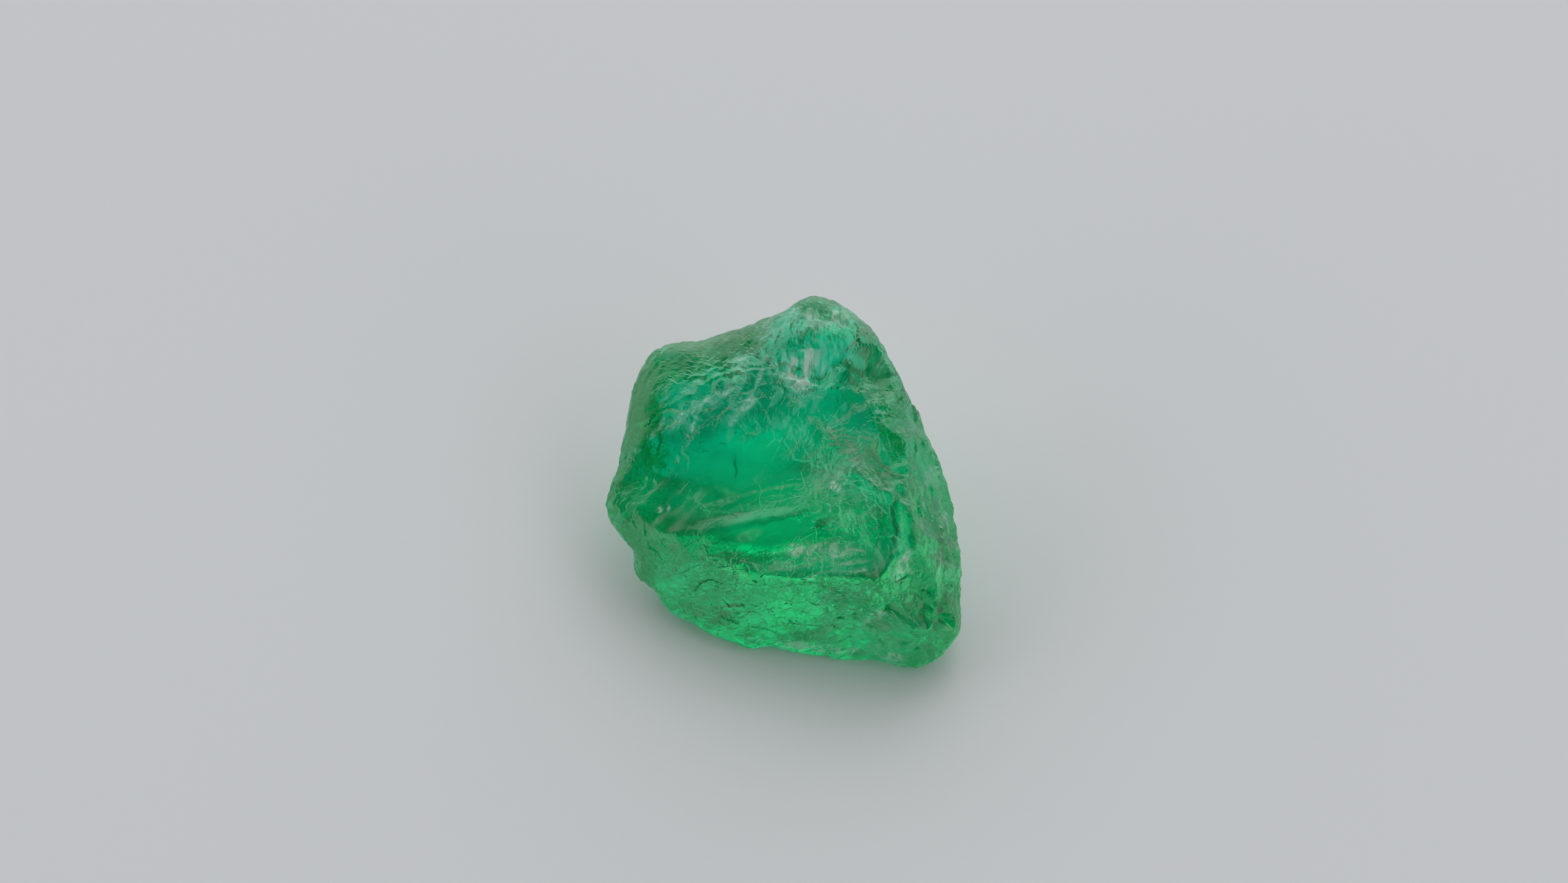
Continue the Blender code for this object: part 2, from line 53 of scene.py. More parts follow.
# Corners the viewer sees are (right, up, height): right and up across the sight line.
SEEN_CORNERS = [
    # the outline: peak, right shoulder, right flank, toe
    (0.85, 9.65, 8.9), (1.5, 9.7, 9.0), (2.45, 9.4, 8.8), (3.05, 8.9, 8.5),
    (4.0, 7.95, 8.0), (4.75, 6.75, 7.4), (5.4, 4.75, 6.6), (6.2, 3.75, 5.9),
    (6.85, 2.4, 5.2), (7.15, 0.6, 4.5), (7.45, -0.65, 3.9), (7.45, -1.75, 3.3),
    (7.15, -2.55, 3.0), (7.3, -3.6, 2.4), (7.25, -4.7, 1.6),
    (6.55, -5.45, 0.8), (5.4, -5.95, 0.3), (4.15, -5.7, 0.15), (2.35, -5.55, 0.1),
    # the outline: foot, left corner, left flank, top edge
    (0.3, -5.25, 0.1), (-1.5, -5.05, 0.2), (-3.25, -4.45, 0.3), (-4.8, -3.55, 0.5),
    (-5.55, -2.6, 0.9), (-6.3, -1.9, 1.5), (-6.45, -1.1, 2.1), (-6.7, -0.6, 2.7),
    (-7.3, 0.3, 3.4), (-7.5, 1.05, 3.9), (-7.25, 1.85, 4.3), (-6.8, 3.25, 4.9),
    (-6.55, 4.2, 5.2), (-6.25, 5.7, 5.8), (-5.9, 7.15, 6.3), (-5.05, 7.7, 6.6),
    (-4.05, 7.85, 6.8), (-2.75, 8.05, 7.1), (-1.5, 8.55, 7.6), (-0.1, 9.15, 8.3),
    # the ridge down the right and the side face beyond it
    (2.15, 9.05, 8.9), (2.85, 8.3, 8.6), (3.9, 7.15, 8.1), (4.45, 5.85, 7.6), (4.85, 4.3, 7.1),
    (5.1, 2.55, 6.7), (5.0, 0.75, 6.4), (4.8, -0.8, 5.9), (4.9, -2.35, 5.0), (5.2, -4.1, 3.4),
    (5.4, -5.25, 1.4), (6.2, 1.75, 5.9), (6.45, -0.8, 4.9), (6.55, -3.35, 3.3), (6.45, -4.9, 1.5),
    # the crown under the peak, and the mound
    (1.45, 8.65, 8.8), (0.3, 7.9, 8.4), (1.6, 6.85, 8.0), (2.85, 5.85, 7.6), (1.05, 5.85, 7.5),
    (3.35, 4.3, 7.1), (1.6, 4.3, 6.9), (2.35, 2.8, 6.7), (2.75, 1.75, 6.7), (3.9, 1.25, 6.6),
    (1.6, 1.0, 6.2), (2.85, -0.05, 6.0), (0.55, 1.75, 6.1), (0.3, 0.25, 5.5), (2.85, -1.45, 5.1),
    (1.05, -1.45, 4.8), (3.9, -1.55, 5.3),
    # the slope with the ledges, and the bowl's rim
    (-4.55, 6.85, 6.7), (-2.75, 7.15, 7.1), (-0.95, 7.65, 7.8), (-5.3, 5.35, 6.1),
    (-3.55, 5.85, 6.7), (-1.75, 6.35, 7.3), (-0.2, 6.85, 7.8), (-4.8, 3.3, 5.4),
    (-3.0, 3.8, 6.0), (-1.35, 3.3, 6.1), (0.05, 3.3, 6.4), (-2.75, 2.0, 5.5), (-1.25, 1.25, 5.4),
    # the left shelf, the brow, and the face below it
    (-5.85, 2.25, 4.9), (-6.35, 1.0, 4.3), (-4.8, 1.0, 4.7), (-3.4, 0.6, 4.9), (-1.5, -0.05, 4.9),
    (-3.25, -0.05, 4.6), (-4.55, 0.1, 4.4), (-6.1, 0.25, 3.9), (-2.25, -0.85, 4.5),
    (-0.7, -1.7, 4.2), (0.3, -1.95, 4.2), (-5.85, -1.05, 3.0), (-4.8, -2.05, 2.4),
    (-3.55, -2.35, 2.7), (-1.85, -2.95, 2.7), (-0.2, -3.35, 2.5), (1.6, -3.35, 2.8),
    (3.35, -3.35, 3.2), (-2.75, -3.75, 1.5), (-0.7, -4.35, 1.2), (1.35, -4.65, 1.3),
    (3.35, -4.9, 1.3), (-4.55, -3.1, 1.2),
]
# Corners on the turned-away sides are plain (x, y, z) places.
HIDDEN_CORNERS = [
    # back wall
    (1.2, 6.0, 7.0), (1.0, 6.5, 4.8), (0.8, 6.1, 2.9), (0.7, 5.2, 1.9), (0.5, 3.5, 0.9),
    (0.3, 1.7, 0.1), (-1.8, 5.6, 5.5), (-1.7, 5.5, 3.1), (-1.7, 4.7, 1.9), (-1.6, 3.2, 0.9),
    (-1.5, 1.6, 0.1), (-4.6, 5.1, 4.8), (-4.2, 4.7, 2.7), (-3.7, 3.6, 1.1), (-3.2, 2.4, 0.2),
    (4.2, 4.6, 6.0), (4.2, 4.6, 3.4), (3.8, 3.8, 1.4), (3.4, 2.4, 0.2),
    # undercuts to the right and to the left
    (5.9, 0.9, 4.2), (6.2, 1.2, 2.0), (5.3, 1.0, 0.0), (7.1, -3.0, 2.2), (6.4, -3.2, 0.3),
    (-6.6, -1.2, 2.4), (-5.4, -1.2, 0.5), (-6.5, 1.0, 3.4), (-5.6, 1.2, 1.3), (-4.7, 0.6, -0.1),
    (-6.0, 3.2, 4.0), (-5.4, 3.2, 1.9), (-4.4, 2.8, 0.1),
    # underside, cut off flat at height 0
    (-2.8, -4.0, -0.5), (2.2, -6.0, -0.6), (4.8, -5.6, -0.5), (0.0, -5.3, -0.7), (0.0, -1.0, -0.9),
    (3.0, -3.0, -0.9), (-2.4, -1.0, -0.7), (0.0, 0.7, -0.7), (3.2, 0.6, -0.8), (-2.0, 0.6, -0.7),
]


def place_seen(right, up, height):
    """The place at HEIGHT on the sight line through RIGHT, UP: eye + way * (height - eye.z) / way.z."""
    eye = SIGHT_MIDDLE_UP * SIGHT_UP_WAY + SIGHT_DISTANCE * SIGHT_BACK_WAY
    way = np.array([right, 0.0, 0.0]) + (up - SIGHT_MIDDLE_UP) * SIGHT_UP_WAY
    way = way - SIGHT_DISTANCE * SIGHT_BACK_WAY
    return eye + way * (height - eye[2]) / way[2]


def soft_gap(ways, corner_ways):
    """Rounded distance between directions: sqrt(2 - 2 cos(angle) + softness squared)."""
    squared = np.maximum(2.0 - 2.0 * ways @ corner_ways.T, 0.0)
    return np.sqrt(squared + CORNER_SOFTNESS ** 2)


def blended_radius(ways):
    """Radius = sum of weight * soft gap to each corner + a constant, meeting every corner."""
    corners = [place_seen(*corner) for corner in SEEN_CORNERS] + HIDDEN_CORNERS
    from_inside = np.array(corners) - INNER_PLACE
    radius = np.linalg.norm(from_inside, axis=1)
    corner_ways = from_inside / radius[:, None]
    count = len(radius)
    system = np.ones((count + 1, count + 1))
    system[:count, :count] = soft_gap(corner_ways, corner_ways)
    system[count, count] = 0.0
    weights = np.linalg.solve(system, np.append(radius, 0.0))
    return soft_gap(ways, corner_ways) @ weights[:-1] + weights[-1]


def ball_grid(count):
    """Six square patches of directions on the unit ball: tan(angle) steps across a cube's faces."""
    step = np.tan(np.linspace(-1.0, 1.0, count + 1) * math.pi / 4.0)
    a, b = np.meshgrid(step, step, indexing="ij")
    one = np.ones_like(a)
    sides = [(one, a, b), (-one, b, a), (b, one, a), (a, -one, b), (a, b, one), (b, a, -one)]
    ways = np.concatenate([np.stack(side, axis=-1).reshape(-1, 3) for side in sides])
    i, j = np.meshgrid(np.arange(count), np.arange(count), indexing="ij")
    first = (i * (count + 1) + j).ravel()
    quad = np.stack([first, first + count + 1, first + count + 2, first + 1], axis=1)
    quads = np.concatenate([quad + side * (count + 1) ** 2 for side in range(6)])
    ways, place = np.unique(np.round(ways, 9), axis=0, return_inverse=True)
    return ways / np.linalg.norm(ways, axis=1)[:, None], place.ravel()[quads]


# Directions crowd towards the viewer's side, where the smallest detail is wanted.
SKIN_DIVISIONS = 127
CROWDING = 0.50
ways, skin_quads = ball_grid(SKIN_DIVISIONS)
ways = ways + CROWDING * SIGHT_BACK_WAY
ways = ways / np.linalg.norm(ways, axis=1)[:, None]
radius = blended_radius(ways)

# Shell-shaped hollows, the traces of the break: smooth rounded dishes with uneven floors.
# The widest is the bowl in the upper left; a thin ridge parts it from the band below.
# Each is a stretched ball taken away, and the ray stops where it enters the ball.

LATTICE_SIZE = 512


def lattice_pick(order, cell):
    """A fixed random number for each lattice cell: order[order[order[x] + y] + z]."""
    mask = LATTICE_SIZE - 1
    first = order[cell[:, 0] & mask]
    second = order[(first + cell[:, 1]) & mask]
    return order[(second + cell[:, 2]) & mask]


def random_ways(generator):
    """Unit vectors: three normal numbers divided by their length."""
    drawn = generator.normal(size=(LATTICE_SIZE, 3))
    return drawn / np.linalg.norm(drawn, axis=1)[:, None]


def wave(points, height, wavelength, seed):
    """Random slopes at lattice corners, eased by 6t^5 - 15t^4 + 10t^3 into each other."""
    generator = np.random.default_rng(seed)
    slopes = random_ways(generator)
    order = generator.permutation(LATTICE_SIZE)
    scaled = points / wavelength
    cell = np.floor(scaled).astype(int)
    part = scaled - cell
    ease = part * part * part * (part * (part * 6.0 - 15.0) + 10.0)
    total = np.zeros(len(points))
    for corner in np.ndindex(2, 2, 2):
        pick = lattice_pick(order, cell + corner)
        share = np.prod(np.where(np.array(corner) == 1, ease, 1.0 - ease), axis=1)
        total += share * ((part - corner) * slopes[pick]).sum(axis=1)
    return 1.6 * height * total


# Each hollow: place on the surface, outward way, rim radius, depth, rim softness, stretch along x.
HOLLOWS = {
    "bowl": ((-1.75, -0.64, 6.00), (-0.16, -0.50, 0.85), 2.1, 0.33, 0.30, 1.25),
    "bowl left end": ((-4.5, -0.9, 5.15), (-0.20, -0.52, 0.83), 1.3, 0.15, 0.20, 1.3),
    "band": ((-0.9, -3.75, 4.85), (-0.15, -0.50, 0.85), 1.25, 0.10, 0.20, 1.9),
    "lower band left": ((-3.5, -3.80, 4.55), (-0.20, -0.68, 0.70), 0.8, 0.14, 0.12, 2.0),
    "crown": ((3.3, 1.5, 7.85), (0.10, -0.35, 0.93), 1.4, 0.26, 0.20, 1.2),
    "shoulder": ((4.3, -0.9, 7.05), (0.10, -0.50, 0.86), 1.2, 0.28, 0.20, 1.0),
    "saddle": ((1.3, 0.7, 7.55), (-0.10, -0.40, 0.91), 1.5, 0.24, 0.25, 1.4),
    "high pit": ((6.54, -4.42, 4.45), (0.73, -0.36, 0.58), 0.6, 0.30, 0.08, 1.0),
    "low pit": ((6.41, -6.37, 3.05), (0.74, -0.42, 0.52), 0.6, 0.28, 0.08, 1.0),
    "toe": ((3.64, -6.85, 2.85), (-0.20, -0.90, 0.30), 0.9, 0.20, 0.10, 1.3),
    "side": ((6.1, -2.4, 5.1), (0.80, -0.10, 0.60), 2.2, 0.28, 0.10, 1.0),
    "front right": ((4.9, -6.2, 4.4), (0.25, -0.85, 0.50), 1.2, 0.20, 0.20, 1.0),
    "front left": ((-3.6, -5.1, 2.6), (-0.30, -0.90, 0.30), 1.6, 0.16, 0.30, 1.3),
    "front": ((0.6, -6.3, 2.2), (-0.10, -0.95, 0.20), 1.7, 0.15, 0.35, 1.5),
    "back left": ((-2.6, 5.6, 4.4), (-0.20, 0.97, 0.12), 2.7, 0.50, 0.06, 1.3),
    "back right": ((4.6, 3.7, 4.4), (0.75, 0.60, 0.25), 2.6, 0.42, 0.06, 1.0),
    "back high": ((1.6, 5.9, 7.0), (0.10, 0.85, 0.50), 1.7, 0.35, 0.06, 1.3),
    "back low": ((1.2, 5.9, 2.6), (0.15, 0.95, -0.20), 2.1, 0.35, 0.06, 1.2),
    "left": ((-6.2, 1.2, 3.0), (-0.95, 0.10, -0.28), 2.0, 0.38, 0.06, 1.0),
    "right low": ((6.7, 0.0, 2.8), (0.98, 0.10, 0.0), 2.1, 0.32, 0.06, 1.0),
}
# These four have rims that keep close to a true curve; the others wander more.
SMOOTH_HOLLOWS = ["bowl", "bowl left end", "band", "lower band left"]
SMOOTH_BEND = 0.25
# Hollows shallower than this have floors that are less uneven.
FULL_WAVE_DEPTH = 0.4
# Waves of the skin, of the hollows' floors and of their rims: height, wavelength, seed.
SKIN_WAVES = ((0.10, 1.7, 3), (0.05, 0.8, 4))
FLOOR_WAVES = ((0.08, 1.9, 11), (0.03, 0.9, 12))
RIM_DRIFTS = ((0.07, 1.6, 13), (0.03, 0.6, 16))


def cut_hollow(radius, ways, unevenness, middle, outward, rim, depth, softness, stretch):
    """Smaller of RADIUS and the ray's entry into a ball of radius (rim^2 + depth^2) / (2 depth)."""
    outward = np.array(outward) / np.linalg.norm(outward)
    ball = (rim ** 2 + depth ** 2) / (2.0 * depth)
    long_way = np.array([1.0, 0.0, 0.0]) - outward[0] * outward
    long_way = long_way / np.linalg.norm(long_way)
    heart = np.array(middle) + outward * (ball - depth) - INNER_PLACE
    squeeze = 1.0 / stretch - 1.0
    ray = ways + squeeze * (ways @ long_way)[:, None] * long_way
    heart = heart + squeeze * (heart @ long_way) * long_way
    length = (ray ** 2).sum(axis=1)
    toward = ray @ heart
    reach = toward ** 2 - length * (heart @ heart - ball ** 2)
    hit = (reach > 0.0) & (toward > 0.0)
    entry = (toward - np.sqrt(np.maximum(reach, 0.0))) / length
    entry = entry + unevenness * min(1.0, depth / FULL_WAVE_DEPTH)
    share = np.clip(0.5 + 0.5 * (radius - entry) / softness, 0.0, 1.0)
    cut = radius * (1.0 - share) + entry * share - softness * share * (1.0 - share)
    return np.where(hit, cut, radius)


def drift(points, height, wavelength, seed):
    """A small shift for each place: one wave for each axis, with seeds one apart."""
    return np.stack([wave(points, height, wavelength, seed + axis) for axis in range(3)], axis=1)


body_points = INNER_PLACE + ways * radius[:, None]
floor_unevenness = sum(wave(body_points, *row) for row in FLOOR_WAVES)
radius = radius + sum(wave(body_points, *row) for row in SKIN_WAVES)
bend = sum(drift(body_points, *row) for row in RIM_DRIFTS)
for name, hollow in HOLLOWS.items():
    bent_ways = ways + bend * (SMOOTH_BEND if name in SMOOTH_HOLLOWS else 1.0)
    bent_ways = bent_ways / np.linalg.norm(bent_ways, axis=1)[:, None]
    radius = cut_hollow(radius, bent_ways, floor_unevenness, *hollow)
hollowed_points = INNER_PLACE + ways * radius[:, None]

# Ledges curve round the bowl's upper left side, like ripples of the break.
# Their depth is a saw-tooth of the distance from the bowl's middle, broken up by waves.

LEDGE_MIDDLE = np.array([-1.4, -1.3, 6.0])
LEDGE_PLANE_WAY = np.array([-0.16, -0.42, 0.89])
LEDGE_SIDE_WAY = np.array([-0.5, 0.8, 0.3])
LEDGE_STRETCH = 1.25
LEDGE_DEPTH = 0.20
LEDGE_SPACING = 0.55
LEDGE_RISE_SHARE = 0.7
# Waves that make the ledges wander: height, wavelength, seed.
LEDGE_WAVES = ((0.55, 1.3, 21), (0.30, 0.5, 22))
# Ledges fade to this share of their depth where a slow wave is low.
BROKEN_LEDGE_SHARE = 0.35


def eased_step(value, low, high):
    """3t^2 - 2t^3 of t = (value - low) / (high - low), held between 0 and 1."""
    share = np.clip((value - low) / (high - low), 0.0, 1.0)
    return share * share * (3.0 - 2.0 * share)


def saw_tooth(value, spacing, rise_share):
    """Rises from 0 to 1 over RISE_SHARE of each SPACING, then falls back."""
    phase = value / spacing
    phase = phase - np.floor(phase)
    return np.minimum(phase / rise_share, (1.0 - phase) / (1.0 - rise_share))


def ledge_field(points):
    """Distance from the bowl's middle in the rim's plane, and 0 to 1 for how ledged the skin is."""
    plane_way = LEDGE_PLANE_WAY / np.linalg.norm(LEDGE_PLANE_WAY)
    away = points - LEDGE_MIDDLE
    away = away - (away @ plane_way)[:, None] * plane_way
    distance = np.linalg.norm(away / np.array([LEDGE_STRETCH, 1.0, 1.0]), axis=1)
    ring = eased_step(distance, 2.1, 2.6) * (1.0 - eased_step(distance, 3.6, 5.2))
    return distance, ring * eased_step(away @ LEDGE_SIDE_WAY, 0.9, 1.9)


# The smooth parts of the break, where ledges and flakes die out: the bowl, its left end,
# the band and the left flank. Each has a middle, and sizes to its half-faded edge.
SMOOTH_PARTS = [
    ((-1.9, -1.2, 5.2), (2.9, 1.7, 1.7)), ((-4.7, -2.6, 4.6), (1.3, 1.2, 1.2)),
    ((-1.2, -3.9, 4.9), (2.4, 0.9, 0.9)), ((-5.5, 0.6, 5.5), (1.2, 2.2, 1.3)),
]
SMOOTHING = 0.9


def smooth_parts(points):
    """1 inside any of the smooth ellipsoids, eased to 0 between 0.6 and 1.4 times their size."""
    share = np.zeros(len(points))
    for middle, size in SMOOTH_PARTS:
        gap = np.linalg.norm((points - np.array(middle)) / np.array(size), axis=1)
        share = np.maximum(share, 1.0 - eased_step(gap, 0.6, 1.4))
    return share


ledge_distance, ledge_share = ledge_field(hollowed_points)
warped = ledge_distance + sum(wave(hollowed_points, *row) for row in LEDGE_WAVES)
whole = eased_step(wave(hollowed_points, 1.0, 0.9, 23), -0.3, 0.4)
broken = BROKEN_LEDGE_SHARE + (1.0 - BROKEN_LEDGE_SHARE) * whole
ledge_cut = LEDGE_DEPTH * ledge_share * broken * saw_tooth(warped, LEDGE_SPACING, LEDGE_RISE_SHARE)
smooth_share = smooth_parts(hollowed_points)
ledge_cut = ledge_cut * (1.0 - SMOOTHING * smooth_share)

# Flakes: small tilted facets where the stone chipped, deepest on the crown, the peak and the toe.
# Each point takes the slope of the nearest seed of a jittered lattice.

FAR_AWAY = 99.0
FLAKE_DEPTH = 0.12
# Where flakes are deeper: middle, reach, and depth added at the middle.
CROWN_FLAKES = ((0.9, 2.1, 8.0), 1.8, 0.16)
PEAK_FLAKES = ((1.7, 4.0, 8.9), 1.8, 0.12)
TOE_FLAKES = ((4.3, -7.0, 1.2), 2.4, 0.12)
FRONT_FLAKES = ((1.2, -5.1, 4.9), 1.9, 0.10)
SIDE_FLAKE_DEPTH = 0.05
FLAKE_SQUEEZE = np.array([1.0, 0.55, 1.0])
BROAD_FLAKES = (0.9, 31)
SMALL_FLAKES = (0.45, 32)


def flakes(points, size, seed):
    """(point - nearest seed) . (that seed's own tilt), in units of SIZE, and the seed's own luck."""
    generator = np.random.default_rng(seed)
    order = generator.permutation(LATTICE_SIZE)
    jitter = generator.random((LATTICE_SIZE, 3))
    tilt = random_ways(generator)
    chance = generator.random(LATTICE_SIZE)
    scaled = points / size
    cell = np.floor(scaled).astype(int)
    nearest = np.full(len(points), FAR_AWAY)
    value = np.zeros(len(points))
    luck = np.zeros(len(points))
    for corner in np.ndindex(3, 3, 3):
        near_cell = cell + corner - 1
        pick = lattice_pick(order, near_cell)
        gap = scaled - near_cell - jitter[pick]
        squared = (gap ** 2).sum(axis=1)
        closer = squared < nearest
        value = np.where(closer, (gap * tilt[pick]).sum(axis=1), value)
        luck = np.where(closer, chance[pick], luck)
        nearest = np.where(closer, squared, nearest)
    return value, luck


def nearness(points, middle, reach):
    """1 at MIDDLE, eased to 0 at REACH."""
    return 1.0 - eased_step(np.linalg.norm(points - np.array(middle), axis=1), 0.0, reach)


crown_share = nearness(hollowed_points, *CROWN_FLAKES[:2])
peak_share = nearness(hollowed_points, *PEAK_FLAKES[:2])
flake_depth = FLAKE_DEPTH + SIDE_FLAKE_DEPTH * eased_step(hollowed_points[:, 0], 4.6, 5.6)
for middle, reach, more_depth in (CROWN_FLAKES, PEAK_FLAKES, TOE_FLAKES, FRONT_FLAKES):
    flake_depth = flake_depth + more_depth * nearness(hollowed_points, middle, reach)
flake_depth = flake_depth * (1.0 - SMOOTHING * smooth_share)
wander = drift(hollowed_points, 0.12, 0.7, 34)
squeezed = (hollowed_points + wander) * FLAKE_SQUEEZE
broad_slope = flakes(squeezed, *BROAD_FLAKES)[0]
small_slope = flakes(squeezed, *SMALL_FLAKES)[0]
flake_cut = flake_depth * (0.75 + 0.5 * broad_slope + 0.25 * small_slope)

# A dark groove runs down the front of the right ridge, where two broken faces meet.
# It is a rounded valley along a straight line, a fifth of a millimetre deep.

GROOVE_TOP = np.array([4.62, -3.6, 6.5])
GROOVE_FOOT = np.array([4.40, -5.6, 5.8])
GROOVE_SQUEEZE = np.array([1.0, 0.6, 0.6])
GROOVE_WIDTH = 0.28
GROOVE_DEPTH = 0.22


def line_gap(points, start, end, squeeze):
    """Distance from the straight line START to END, with each axis scaled by SQUEEZE."""
    run = end - start
    along = np.clip((points - start) @ run / (run @ run), 0.0, 1.0)
    return np.linalg.norm((points - start - along[:, None] * run) * squeeze, axis=1)


groove_gap = line_gap(hollowed_points, GROOVE_TOP, GROOVE_FOOT, GROOVE_SQUEEZE)
groove_gap = groove_gap + wave(hollowed_points, 0.12, 0.5, 41)
groove_cut = GROOVE_DEPTH * np.exp(-((groove_gap / GROOVE_WIDTH) ** 2))
radius = radius - ledge_cut - flake_cut - groove_cut

# Fine relief: frosting, striations and small chips of the broken skin, a few hundredths deep.
# The splinters lie along the slope, across the front face and down the right ridge.
# The relief only cuts inwards, so the stone keeps its size.

GRAIN_STRETCH = 4.0
# Each grain: the way its splinters lie, their width, seed.
SLOPE_GRAIN = ((0.574, 0.805, 0.314), 0.26, 61)
FRONT_GRAIN = ((0.966, 0.073, 0.317), 0.24, 62)
RIDGE_GRAIN = ((0.300, -0.850, -0.470), 0.26, 63)
GRAIN_DEPTH = 0.048
MORE_SLOPE_GRAIN = 0.007
MORE_RIDGE_GRAIN = 0.032
CHIP_DEPTH = 0.02
FINE_SMOOTHING = 0.88


def grain(points, way, size, seed):
    """Long narrow flakes: the part of each place along WAY is shortened before the flakes are laid."""
    way = np.array(way) / np.linalg.norm(way)
    along = (points @ way)[:, None] * way
    slope, luck = flakes(points - (1.0 - 1.0 / GRAIN_STRETCH) * along, size, seed)
    return np.stack([0.5 + 0.5 * slope, luck])


carved_points = INNER_PLACE + ways * radius[:, None]
wavy_points = carved_points + 0.6 * wander
slope_part = eased_step(hollowed_points @ np.array([-0.35, 0.90, 0.25]), -0.4, 1.2)
ridge_part = eased_step(hollowed_points[:, 0], 2.6, 4.0) * (1.0 - slope_part)
front_part = 1.0 - slope_part - ridge_part
stroke = slope_part * grain(wavy_points, *SLOPE_GRAIN)
stroke = stroke + ridge_part * grain(wavy_points, *RIDGE_GRAIN)
stroke = stroke + front_part * grain(wavy_points, *FRONT_GRAIN)
grain_depth = GRAIN_DEPTH + MORE_SLOPE_GRAIN * slope_part + MORE_RIDGE_GRAIN * ridge_part
fine_cut = grain_depth * stroke[0] + CHIP_DEPTH * np.abs(wave(carved_points, 1.0, 0.22, 6))
radius = radius - fine_cut * (1.0 - FINE_SMOOTHING * smooth_share)

# The underside is flat: rays that pass below height 0 stop there.
down = np.maximum(-ways[:, 2], 1e-9)
radius = np.minimum(radius, np.where(ways[:, 2] < 0.0, INNER_PLACE[2] / down, FAR_AWAY))
skin_points = INNER_PLACE + ways * radius[:, None] + FOOTPRINT_SHIFT

skin_mesh = bpy.data.meshes.new("tourmaline_skin")
MILLIMETRE = 0.001
skin_mesh.from_pydata((skin_points * MILLIMETRE).tolist(), [], skin_quads.tolist())
skin_mesh.update()
skin_mesh.shade_flat()
skin = bpy.data.objects.new("tourmaline_skin", skin_mesh)
bpy.context.collection.objects.link(skin)
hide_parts("tourmaline")
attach(skin, "root")

# Marks of the break, seen from the front and painted into the skin's colour: whitened skin where a flake
# has lifted, with painted glints where light caught it; painted glow where it broke clean and light
# comes up through the clear gem; painted shade in the small pits and cracks. Noise breaks every mark up,
# so that none is a plain oval.

# Each mark is an ellipse across the sight line: right, up, half length, half width, turn in
# degrees, strength. Each kind fades out over its own edge, a share of the ellipse's size.
# Broad patches of lifted, whitened flakes, with painted glints where light caught them.
GLINT_EDGE = 0.45
PAINTED_GLINTS = [
    (0.82, 6.87, 0.97, 1.02, 0, 0.65),
    (0.87, 6.87, 0.92, 0.82, 20, 1.00),
    (1.64, 9.12, 1.02, 0.43, 10, 0.75),
    (-0.26, 8.64, 0.77, 0.31, 20, 0.50),
    (-1.84, 5.26, 0.87, 0.33, 45, 0.50),
    (1.46, -0.92, 1.53, 0.36, 3, 0.60),
    (3.96, -3.81, 0.56, 0.31, 20, 0.60),
    (6.44, 2.20, 0.51, 0.56, 0, 0.45),
    (-4.17, 4.96, 1.12, 0.51, 45, 0.36),
    (-1.61, 7.13, 1.02, 0.41, 45, 0.38),
    (3.88, 2.79, 1.53, 1.53, 0, 0.12),
    (2.73, 1.38, 1.33, 1.28, 0, 0.36),
    (6.95, 0.74, 0.41, 1.53, 0, 0.30),
    (5.42, 3.81, 0.26, 1.53, 0, 0.30),
    (0.18, -1.56, 1.79, 0.20, 3, 0.45),
    (3.88, -5.14, 1.53, 0.36, 10, 0.40),
    (1.58, 7.90, 1.28, 1.15, 0, 0.45),
    (0.31, 6.87, 1.02, 0.77, 0, 0.60),
    (1.07, 8.92, 2.30, 0.56, 10, 0.50),
    (4.40, 7.90, 0.31, 1.02, 0, 0.35),
    (-2.76, 6.87, 1.53, 0.41, 12, 0.30),
    (1.46, -5.09, 2.30, 0.23, -2, 0.60),
    (4.70, -5.55, 0.77, 0.26, -8, 0.60),
    (2.86, -3.60, 3.07, 1.28, 5, 0.22),
    (-2.76, -2.33, 3.32, 1.53, -25, 0.16),
    (6.95, -0.79, 0.51, 1.53, 5, 0.30),
    (2.73, 2.02, 1.41, 1.15, 0, 0.45),
]
